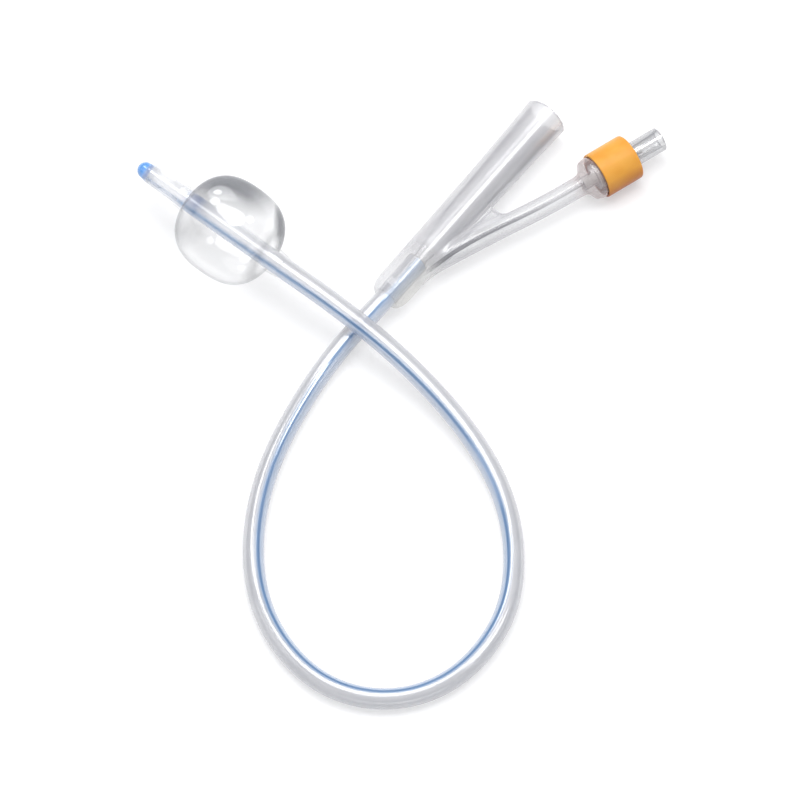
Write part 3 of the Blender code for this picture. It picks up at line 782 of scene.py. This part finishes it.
def makeBalloon():
    half, wall, lip = balloon["length"] / 2, balloon["wall"], balloon["lip"]
    radius, bore, neck = balloon["diameter"] / 2, balloon["bore"] / 2, balloon["neck"] / 2
    front, rear = half + balloon["frontCuff"], -half - balloon["rearCuff"]
    steps = [step / balloon["cuffSteps"] for step in range(balloon["cuffSteps"] + 1)]
    cuff = [(bore + lip + (neck - bore - lip) * ease(t), balloon["cuffFade"] * t) for t in steps]
    outside = [(r, front - fade) for r, fade in cuff]
    outside += blownCurve(radius, half, neck)
    outside += [(r, rear + fade) for r, fade in cuff[::-1]]
    inside = blownCurve(radius - wall, half - wall, bore)
    profile = outside + [(bore, rear)] + inside[::-1] + [(bore, front - lip)]
    middle = shaftEnd + tipAhead * (shaft["tipLength"] + shaft["tipGap"] - balloon["fromTipEnd"])
    films = filmMaterial(middle), clearWall("innerFilm", balloon["tints"], **balloon["innerWall"])
    piece = turnedPiece("balloon_sleeve", profile, balloon["sides"], middle, tipAhead, *films, closed=True)
    setSlots(piece, [row >= len(outside) - 1 for row in range(len(profile))], balloon["sides"])
    sharpen(piece, 40)
    return piece


balloonSleeve = makeBalloon()
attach(balloonSleeve, "catheter")
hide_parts("balloon")
keepTo("rear", balloonSleeve)
keepTo("rearCore", balloonSleeve)
print("balloon made")


# End moulding: drainage funnel, inflation arm, web and valve cup in one piece of frosted silicone

hub = Vector((-6.2, 9.4, 6.0)) * mm
funnelWay = Vector((0, 1, 0))
valveTurn = radians(18.2)
valveWay = Vector((sin(valveTurn), cos(valveTurn), 0))
sleeveFace = hub + Vector((20.6, 60.3, 0)) * mm

moulding = {
    "funnel": (    # heights and radii in mm, here and below
        (0.0, 3.3), (0.47, 4.0), (1.75, 4.62), (3.5, 4.9), (20, 5.0), (41.4, 5.1), (57.5, 5.4), (66.5, 5.7)),
    "armRoute": ((1.0, 11.3), (4.6, 19.8), (9.0, 30.1), (13.3, 40.1), (17.3, 50.5)),
    "armRadius": 2.65 * mm,
    "armRoot": 3.4 * mm,
    "armRootLength": 26 * mm,
    "armEnd": -3.0 * mm,
    "armStations": 40,
    "webHalf": 1.2 * mm,
    "webEnd": 36.6 * mm,
    "bulb": ((-5.1, 2.2), (-3.5, 3.45), (-2.5, 5.15), (-1.2, 5.55), (-0.3, 5.55)),
    "blend": 1.1 * mm,    # how softly the arm and the web run into the funnel
    "bulbBlend": 0.6 * mm,
    "voxel": 0.42 * mm,
    "sides": 48,
    "bore": ((67.5, 4.783), (66.5, 4.75), (57.5, 4.45), (28.0, 3.3), (15.3, 1.8), (13.3, 1.8)),
    "boreSides": 64,
    "socket": (13.3 * mm, 2.865 * mm),    # depth and radius, for the shaft
    "lumenRoute": ((1.2, 5.2), (3.6, 11.2), (5.0, 17.6), (6.8, 24.0)),
    "lumenRadius": 0.55 * mm,
    "lumenLift": 0.6 * mm,
    "lumenStations": 60,
    "lumenSides": 20,
    "cup": (5.15 * mm, 9.1 * mm, -1.2 * mm),    # radius, top and foot
    "cupSides": 72,
    "pocket": (3.4 * mm, -0.6 * mm, 1.8 * mm, -4.2 * mm),    # radius and floor, then those of its tail
    "over": 1.0 * mm,    # how far a cutter stands out past what it cuts
    "tints": ((0.62, 0.62, 0.655), (0.69, 0.685, 0.71)),
    "pink": (0.70, 0.55, 0.53),    # by the sleeve
    "pinkReach": (-8 * mm, -3 * mm, 0.0, 0.85),
    "pinkPlace": ("X", 4, 8, 0.0, 1.0),
    "cream": (0.84, 0.825, 0.70),    # by the hub
    "creamPlaces": (("Y", 14, 27, 0.8, 0.0), ("X", -6.5, -3.5, 0.0, 1.0)),
    "solid": (0.32, 0.92, 1.7),
    "milkyPlaces": (("X", -2, 1, 0.55, 0.0), ("Y", 20, 27, 0.0, 1.0)),    # the funnel's wall is milkier
    "hubPlace": ("Y", 18, 26, 0.6, 1.0),    # the hub is clearer, and shows the shaft's end inside
    "innerWall": {    # fainter round the end of the shaft
        "tints": ((0.38, 0.385, 0.41), (0.48, 0.48, 0.51)), "scale": 150, "solid": (0.14, 0.8, 2.0),
        "places": (("Y", 20, 27, 0.25, 1.0),), "Roughness": 0.6, "IOR": 1.41, "Specular IOR Level": 0.1},
    "lumenWall": {    # lost in the hub, and faint by the bulb
        "tints": ((0.05, 0.055, 0.08), (0.10, 0.105, 0.14)), "scale": 150, "solid": (0.6, 0.95, 1.0),
        "places": (("Y", 21, 28, 0.08, 1.0), ("Y", 42, 58, 1.0, 0.4)), "Roughness": 0.3, "IOR": 1.41},
}


def armPath(points, end, stations):
    flat = [np.array(hub) + np.array((side, forward, 0)) * mm for side, forward in points]
    flat.append(np.array(sleeveFace + valveWay * end))
    return smoothPath(flat, stations)


def blended(a, b, width):
    # The smaller of two distances, with a soft change from one to the other.
    share = np.clip(0.5 + 0.5 * (b - a) / width, 0, 1)
    return b + (a - b) * share - width * share * (1 - share)


def turnedDistance(points, outline, origin, way):
    # How far points lie outside a turned solid.
    heights, radii = (np.array(row) * mm for row in zip(*outline))
    rel = points - np.array(origin)
    along = rel @ np.array(way)
    off = np.linalg.norm(rel - along[:, None] * np.array(way), axis=1)
    ends = np.maximum(heights[0] - along, along - heights[-1])
    return np.maximum(off - np.interp(along, heights, radii), ends)


def mouldingDistance(points):
    # How far points lie outside the moulding's skin: funnel, arm, web and bulb.
    funnel = turnedDistance(points, moulding["funnel"], hub, funnelWay)
    arm = moulding["armPath"]
    best = np.full(len(points), 1e9)
    at = np.zeros(len(points))
    for i in range(len(arm) - 1):
        a, b = arm[i], arm[i + 1]
        step = b - a
        t = np.clip(((points - a) @ step) / (step @ step), 0, 1)
        gap = np.linalg.norm(points - a - t[:, None] * step, axis=1)
        closer = gap < best
        best = np.where(closer, gap, best)
        at = np.where(closer, (i + t) / (len(arm) - 1), at)
    rootShare = moulding["armRootLength"] / moulding["armLength"]
    rootExtra = moulding["armRoot"] - moulding["armRadius"]
    radius = moulding["armRadius"] + rootExtra * np.clip(1 - at / rootShare, 0, 1)
    body = blended(funnel, best - radius, moulding["blend"])
    body = blended(body, webDistance(points), moulding["blend"])
    bulb = turnedDistance(points, moulding["bulb"], sleeveFace, valveWay)
    return blended(body, bulb, moulding["bulbBlend"])


def webDistance(points):
    rel = points - np.array(hub)
    start, reach = moulding["armRoute"][0], moulding["armRoute"][3]
    far = (reach[0] * mm * moulding["webEnd"]) / (reach[1] * mm)
    slope = Vector((moulding["webEnd"], -far)).normalized()
    inside = np.maximum(-rel[:, 0], rel[:, 1] - moulding["webEnd"])
    inside = np.maximum(inside, start[1] * mm - rel[:, 1])
    inside = np.maximum(inside, rel[:, 0] * slope.x + rel[:, 1] * slope.y)
    return np.maximum(inside, np.abs(rel[:, 2]) - moulding["webHalf"])


def solidTube(name, path, radius, sides):
    faces = tubeFaces(len(path), sides)
    faces.append(tuple(range(sides))[::-1])
    last = (len(path) - 1) * sides
    faces.append(tuple(last + j for j in range(sides)))
    return addPiece(name, outward(meshFrom(name, ringsAlong(path, radius, sides), faces)))


def frostedMaterial():
    mat, tree = newSilicone("frostedSilicone", moulding["tints"][1], 0.34, 0.18, 2.6)
    pink = byReach(tree, sleeveFace, valveWay, *moulding["pinkReach"])
    pink = product(tree, pink, byPlace(tree, *moulding["pinkPlace"]))
    body = blendColours(tree, pink, mottled(tree, moulding["tints"], scale=90, detail=4), moulding["pink"])
    feed(tree, blendColours(tree, byPlaces(tree, moulding["creamPlaces"]), body, moulding["cream"]))
    solid = product(tree, edgeShare(tree, *moulding["solid"]), byPlace(tree, *moulding["hubPlace"]))
    seeThrough(tree, larger(tree, solid, byPlaces(tree, moulding["milkyPlaces"])))
    return mat


def turnedSolid(name, outline, origin, way):
    # A rough solid from its heights and radii, closed at both ends.
    profile = [(0.0, outline[-1][0])] + [(r, h) for h, r in outline[::-1]] + [(0.0, outline[0][0])]
    return turnedPiece(name, [(r * mm, h * mm) for r, h in profile], moulding["sides"], origin, way)


def makeMoulding():
    moulding["armPath"] = armPath(moulding["armRoute"], moulding["armEnd"], moulding["armStations"])
    moulding["armLength"] = float(np.linalg.norm(np.diff(moulding["armPath"], axis=0), axis=1).sum())
    parts = [
        turnedSolid("funnelRough", moulding["funnel"], hub, funnelWay),
        solidTube("armRough", moulding["armPath"], moulding["armRoot"] * 0.9, moulding["sides"] // 2),
        turnedSolid("bulbRough", moulding["bulb"], sleeveFace, valveWay),
    ]
    shape = bmesh.new()
    for part in parts:
        shape.from_mesh(part.data)
        bpy.data.objects.remove(part)
    addWeb(shape)
    piece = addPiece("end_moulding", meshOf("end_moulding", shape))
    fuse = piece.modifiers.new("fuse", "REMESH")
    fuse.mode = "VOXEL"
    fuse.voxel_size = moulding["voxel"]
    fuse.use_smooth_shade = True
    bakeModifiers(piece)
    settle(piece.data)
    piece.data.materials.append(frostedMaterial())
    cutMoulding(piece)
    sharpen(piece, 38)
    shadeByCurve(piece.data)
    return piece


def addWeb(shape):
    reach = moulding["armRoute"][3]
    start, slope = moulding["armRoute"][0][1] * mm, reach[0] / reach[1]
    far = moulding["webEnd"]
    rows = []
    for z in (-moulding["webHalf"], moulding["webHalf"]):
        corners = ((0, start), (start * slope, start), (far * slope, far), (0, far))
        rows.append([shape.verts.new(hub + Vector((x, y, z))) for x, y in corners])
    shape.faces.new(rows[0][::-1])
    shape.faces.new(rows[1])
    for i in range(4):
        k = (i + 1) % 4
        shape.faces.new((rows[0][i], rows[0][k], rows[1][k], rows[1][i]))


def pointsOf(mesh):
    points = np.zeros(len(mesh.vertices) * 3)
    mesh.vertices.foreach_get("co", points)
    return points.reshape(-1, 3)


def mouldingSlope(points, reach=0.02 * mm):
    steps = np.eye(3) * reach
    change = [mouldingDistance(points + step) - mouldingDistance(points - step) for step in steps]
    return np.stack(change, axis=1) / (2 * reach)


def shadeByCurve(mesh, close=0.03 * mm):
    # Gives the moulded skin the normals of its true curve, so that the grid it was meshed with doesn't show.
    points = pointsOf(mesh)
    curve = mouldingSlope(points)
    curve /= np.maximum(np.linalg.norm(curve, axis=1), 1e-9)[:, None]
    near = np.abs(mouldingDistance(points)) < close
    corners = np.zeros(len(mesh.loops), dtype=np.int32)
    sizes = np.zeros(len(mesh.polygons), dtype=np.int32)
    flat = np.zeros(len(mesh.polygons) * 3)
    mesh.loops.foreach_get("vertex_index", corners)
    mesh.polygons.foreach_get("loop_total", sizes)
    mesh.polygons.foreach_get("normal", flat)
    flat = np.repeat(flat.reshape(-1, 3), sizes, axis=0)
    agrees = (flat * curve[corners]).sum(axis=1) > 0.9
    normals = np.where((near[corners] & agrees)[:, None], curve[corners], 0.0)
    mesh.normals_split_custom_set(normals.tolist())


def settle(mesh, rounds=6, longest=0.4 * mm):
    # Brings every point onto the smooth moulded surface.
    points = pointsOf(mesh)
    for _ in range(rounds):
        here = mouldingDistance(points)
        slope = mouldingSlope(points)
        size = np.maximum((slope ** 2).sum(axis=1), 0.2)
        move = -slope * (here / size)[:, None]
        length = np.linalg.norm(move, axis=1)
        cap = np.minimum(1, longest / np.maximum(length, 1e-9))
        points += move * cap[:, None]
    mesh.vertices.foreach_set("co", points.ravel())
    mesh.update()


def cutMoulding(piece):
    over, wall = moulding["over"], clearWall("innerWall", **moulding["innerWall"])
    radius, top, foot = moulding["cup"]
    cup = [(0.0, top), (radius, top), (radius, foot), (0.0, foot)]
    cupTool = turnedPiece("cupTool", cup, moulding["cupSides"], sleeveFace, valveWay)
    useTool(piece, cupTool, operation="UNION")
    bore = [(0.0, moulding["bore"][0][0] * mm)] + [(r * mm, h * mm) for h, r in moulding["bore"]]
    depth, socket = moulding["socket"]
    bore += [(socket, depth), (socket, -over), (0.0, -over)]
    useTool(piece, turnedPiece("boreTool", bore, moulding["boreSides"], hub, funnelWay), wall)
    wide, floor, tail, tailEnd = moulding["pocket"]
    lumen = armPath(moulding["lumenRoute"] + moulding["armRoute"][2:], tailEnd, moulding["lumenStations"])
    lumen[:, 2] += moulding["lumenLift"]
    lumenTool = solidTube("lumenTool", lumen, moulding["lumenRadius"], moulding["lumenSides"])
    useTool(piece, lumenTool, clearWall("lumenWall", **moulding["lumenWall"]))
    pocket = [
        (0.0, top + over), (wide, top + over), (wide, floor), (tail, floor), (tail, tailEnd), (0.0, tailEnd)]
    useTool(piece, turnedPiece("pocketTool", pocket, moulding["sides"], sleeveFace, valveWay), wall)


endMoulding = makeMoulding()
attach(endMoulding, "catheter")
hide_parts("y_moulding")
print("moulding made", len(endMoulding.data.polygons))


# Colour sleeve

sleeve = {
    "radius": 6.0 * mm,
    "length": 10.4 * mm,
    "bore": 5.45 * mm,
    "hole": 3.4 * mm,
    "endWall": 1.0 * mm,
    "rim": 0.4 * mm,    # from the hole to where the profile starts
    "edge": 0.7 * mm,    # fillets, here and in the next four lines
    "faceEdge": 0.225 * mm,
    "smallEdge": 0.1 * mm,
    "holeEdge": 0.2 * mm,
    "floorEdge": 0.3 * mm,
    "sides": 96,
    "tints": ((0.86, 0.36, 0.055), (0.93, 0.46, 0.09)),
    "lowPaintedShade": (0.36, 0.055, 0.006),    # painted shade: its colour low down
    "lowPaintedShadePlace": ("Z", 3.0, 9.5, 1.0, 0.0),
}


def orangeMaterial():
    mat, tree = newMaterial("sleeveOrange", sleeve["tints"][1], **{
        "Specular IOR Level": 0.2, "Subsurface Weight": 0.25, "Coat Weight": 0.06, "Coat Roughness": 0.2,
        "Subsurface Radius": (1.0, 0.45, 0.15), "Subsurface Scale": 1.5 * mm})
    face = mottled(tree, sleeve["tints"], scale=140, detail=4)
    # Painted shade: darker and redder towards the bottom
    feed(tree, blendColours(tree, byPlace(tree, *sleeve["lowPaintedShadePlace"]), face, sleeve["lowPaintedShade"]))
    grained(tree, scale=2200, low=0.28, high=0.42, depth=0.004 * mm)
    return mat


def makeSleeve():
    radius, length, bore, hole = (sleeve[size] for size in ("radius", "length", "bore", "hole"))
    floor, small = length - sleeve["endWall"], sleeve["smallEdge"]
    start = (hole + sleeve["rim"], length, 0)
    corners = [
        start, (radius, length, sleeve["edge"]), (radius, 0, sleeve["faceEdge"]), (bore, 0, small),
        (bore, floor, sleeve["floorEdge"]), (hole, floor, small), (hole, length, sleeve["holeEdge"]), start,
    ]
    piece = filletedPiece("sleeve_orange", corners, sleeve["sides"], orangeMaterial())[0]
    sharpen(piece, 45)
    return piece


orangeSleeve = makeSleeve()
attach(orangeSleeve, "catheter")
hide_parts("colour_sleeve")
print("sleeve made")


# Check valve: clear housing, and the spring that pushes the stem

housing = {
    "radius": 3.1 * mm,
    "mouth": 19.3 * mm,
    "low": 0.6 * mm,
    "seatTop": 11.8 * mm,
    "seatUnder": 10.9 * mm,
    "seatHole": 1.15 * mm,
    "chamber": 2.35 * mm,
    "luerMouth": 2.15 * mm,
    "luerEnd": 1.925 * mm,
    "rim": 0.45 * mm,
    "rimEdge": 0.25 * mm,    # fillets, here and in the next three lines
    "smallEdge": 0.1 * mm,
    "chamberEdge": 0.15 * mm,
    "luerEdge": 0.2 * mm,
    "sides": 72,
    "skin": {
        "tints": ((0.54, 0.55, 0.575), (0.33, 0.34, 0.37)), "scale": 200, "solid": (0.24, 0.95, 1.8),
        "Roughness": 0.2, "IOR": 1.49},
    "gloss": (0.20, 0.5, 0.09),
    "innerWall": {
        "tints": ((0.16, 0.165, 0.18), (0.33, 0.34, 0.37)), "scale": 200, "solid": (0.08, 0.95, 1.4),
        "Roughness": 0.25, "IOR": 1.49},
}


def makeHousing():
    radius, mouth, low, chamber = (housing[size] for size in ("radius", "mouth", "low", "chamber"))
    seatUnder, seatTop, seatHole = (housing[size] for size in ("seatUnder", "seatTop", "seatHole"))
    small, luerEdge = housing["smallEdge"], housing["luerEdge"]
    start = (housing["luerMouth"] + housing["rim"], mouth, 0)
    corners = [
        start, (radius, mouth, housing["rimEdge"]), (radius, low, small), (chamber, low, small),
        (chamber, seatUnder, housing["chamberEdge"]), (seatHole, seatUnder, small),
        (seatHole, seatTop, small), (housing["luerEnd"], seatTop, luerEdge),
        (housing["luerMouth"], mouth, luerEdge), start,
    ]
    skin = clearWall("clearPlastic", **housing["skin"])
    addGloss(skin.node_tree, *housing["gloss"])
    inner = clearWall("plasticWall", **housing["innerWall"])
    piece, profile = filletedPiece("housing_clear", corners, housing["sides"], skin, inner)
    setSlots(piece, [r < radius - 0.5 * mm and h < mouth - 0.3 * mm for r, h in profile], housing["sides"])
    sharpen(piece, 45)
    return piece


clearHousing = makeHousing()
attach(clearHousing, "catheter")
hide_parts("valve_housing")
print("housing made")


# Valve inside: coil spring, and the finishes of the base, stem and seal

spring = {
    "outer": 3.04 * mm,
    "wire": 0.34 * mm,
    "low": 2.0 * mm,
    "high": 8.6 * mm,
    "turns": 5,
    "stepsPerTurn": 28,
    "wireSides": 10,
    "foot": (0.01493, 0.07132, 0.006),    # the end that stays put as the stem is pushed
    "pushedLength": 0.77,
    "tints": ((0.50, 0.51, 0.53), (0.66, 0.67, 0.68)),
}

valveInside = {
    "whiteTints": ((0.80, 0.80, 0.785), (0.87, 0.87, 0.86)),
    "rubberTints": ((0.22, 0.23, 0.25), (0.30, 0.31, 0.33)),
}


def steelMaterial():
    mat, tree = newMaterial("drawnSteel", spring["tints"][1], Metallic=1.0)
    feed(tree, mottled(tree, spring["tints"], scale=900))
    grained(tree, scale=5000, low=0.18, high=0.34)
    return mat


def insideMaterial(name, tints, roughness, depth):
    mat, tree = newMaterial(name, tints[1])
    feed(tree, mottled(tree, tints, scale=300))
    grained(tree, scale=4000, low=roughness - 0.06, high=roughness + 0.08, depth=depth)
    return mat


def springTree(mat, wire):
    # A wire swept along a coil, whose first and last turns lie close as in a wound spring.
    tree = bpy.data.node_groups.new("coilSpring", "GeometryNodeTree")
    tree.interface.new_socket("Geometry", in_out="OUTPUT", socket_type="NodeSocketGeometry")
    radius, height = spring["outer"] / 2 - wire, spring["high"] - spring["low"] - 2 * wire
    coil = addNode(tree, "GeometryNodeCurveSpiral", {
        "Resolution": spring["stepsPerTurn"], "Height": 0.0, "Rotations": spring["turns"],
        "Start Radius": radius, "End Radius": radius})
    share = addNode(tree, "GeometryNodeSplineParameter").outputs["Factor"]
    rise = addNode(
        tree, "ShaderNodeMapRange", {"Value": share, "To Max": height}, interpolation_type="SMOOTHSTEP")
    lift = addNode(tree, "ShaderNodeCombineXYZ", {"Z": rise.outputs["Result"]})
    raised = addNode(tree, "GeometryNodeSetPosition", {
        "Geometry": coil.outputs["Curve"], "Offset": lift.outputs["Vector"]})
    ring = addNode(
        tree, "GeometryNodeCurvePrimitiveCircle", {"Resolution": spring["wireSides"], "Radius": wire})
    swept = addNode(tree, "GeometryNodeCurveToMesh", {
        "Curve": raised.outputs["Geometry"], "Profile Curve": ring.outputs["Curve"], "Fill Caps": True})
    real = addNode(tree, "GeometryNodeRealizeInstances", {"Geometry": swept.outputs["Mesh"]})
    finish = addNode(tree, "GeometryNodeSetMaterial", {"Geometry": real.outputs["Geometry"], "Material": mat})
    addNode(tree, "NodeGroupOutput", {"Geometry": finish.outputs["Geometry"]})
    return tree


def makeSpring():
    wire = spring["wire"] / 2
    piece = addPiece("coil_spring", bpy.data.meshes.new("coil_spring"))
    piece.modifiers.new("wound", "NODES").node_group = springTree(steelMaterial(), wire)
    bakeModifiers(piece)
    foot = sleeveFace + valveWay * (spring["low"] + wire)
    piece.data.transform(Matrix.Translation(foot) @ valveWay.to_track_quat("Z", "Y").to_matrix().to_4x4())
    outward(piece.data)
    piece.data.shade_smooth()
    sharpen(piece, 50)
    return piece


coilSpring = makeSpring()
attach(coilSpring, "catheter")
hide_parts("valve_spring")
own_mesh(coilSpring)
whitePlastic = insideMaterial("valveWhite", valveInside["whiteTints"], roughness=0.42, depth=0.003 * mm)
greyRubber = insideMaterial("sealRubber", valveInside["rubberTints"], roughness=0.7, depth=0.006 * mm)
for part, mat in (("valve_base", whitePlastic), ("valve_stem", whitePlastic), ("stem_seal", greyRubber)):
    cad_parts[part].data.materials.clear()
    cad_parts[part].data.materials.append(mat)
print("valve inside made", len(coilSpring.data.polygons))
